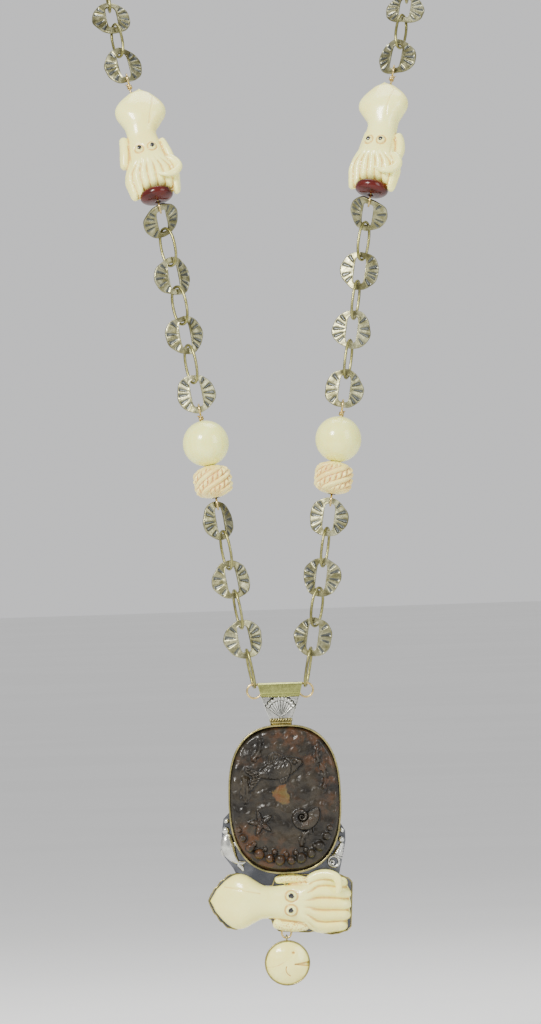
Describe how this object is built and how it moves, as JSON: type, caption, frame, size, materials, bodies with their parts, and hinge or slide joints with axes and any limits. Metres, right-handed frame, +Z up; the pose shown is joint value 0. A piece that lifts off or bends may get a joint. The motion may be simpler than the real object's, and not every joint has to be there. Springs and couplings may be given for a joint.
{
  "type": "bone pendant necklace",
  "caption": "Long necklace of hammered disc and oval links with bone beads, holding a carved stone pendant with a bone squid and a round drop.",
  "frame": {"origin": "middle of the neck, level with the sides of the neck loop, where the wearer's neck goes in", "axes": "+Z up along the neck, -Y towards the wearer's front, where the pendant hangs, +X to the right of the picture"},
  "size_m": [0.1326, 0.1471, 0.453],
  "materials": {
    "brass": "satin",
    "gold_wire": "polished",
    "bone": "gloss",
    "carved_bone": "gloss",
    "red_resin": "gloss",
    "silver": "satin",
    "stone": "gloss",
    "pupil": "gloss"
  },
  "bodies": {
    "necklace": {"left_oval_1": "brass", "left_oval_2": "brass", "left_oval_3": "brass", "left_oval_4": "brass", "left_oval_5": "brass", "left_oval_6": "brass", "left_oval_7": "brass", "left_disc_1": "brass", "left_disc_2": "brass", "left_disc_3": "brass", "left_disc_4": "brass", "left_disc_5": "brass", "left_disc_6": "brass", "left_disc_7": "brass", "left_disc_8": "brass", "left_disc_9": "brass", "left_carved_bead": "carved_bone", "left_round_bead": "bone", "left_round_bead_wire": "gold_wire", "left_red_bead": "red_resin", "left_squid_bead": "bone", "left_squid_bead_eyes": "pupil", "left_squid_bead_wire": "gold_wire", "left_back_chain": "brass", "right_oval_1": "brass", "right_oval_2": "brass", "right_oval_3": "brass", "right_oval_4": "brass", "right_oval_5": "brass", "right_oval_6": "brass", "right_oval_7": "brass", "right_disc_1": "brass", "right_disc_2": "brass", "right_disc_3": "brass", "right_disc_4": "brass", "right_disc_5": "brass", "right_disc_6": "brass", "right_disc_7": "brass", "right_disc_8": "brass", "right_disc_9": "brass", "right_carved_bead": "carved_bone", "right_round_bead": "bone", "right_round_bead_wire": "gold_wire", "right_red_bead": "red_resin", "right_squid_bead": "bone", "right_squid_bead_eyes": "pupil", "right_squid_bead_wire": "gold_wire", "right_back_chain": "brass", "clasp": "gold_wire"},
    "pendant": {"setting": "silver", "stone": "stone", "pendant_squid": "bone", "pendant_squid_eyes": "pupil", "drop_setting": "gold_wire", "drop_bone": "bone"}
  },
  "joints": [
    {"name": "pendant_swing", "type": "hinge", "parent": "necklace", "child": "pendant", "pos_m": [0, -0.075, -0.3115], "axis": [1, 0, 0], "range_deg": [-90, 90]}
  ]
}
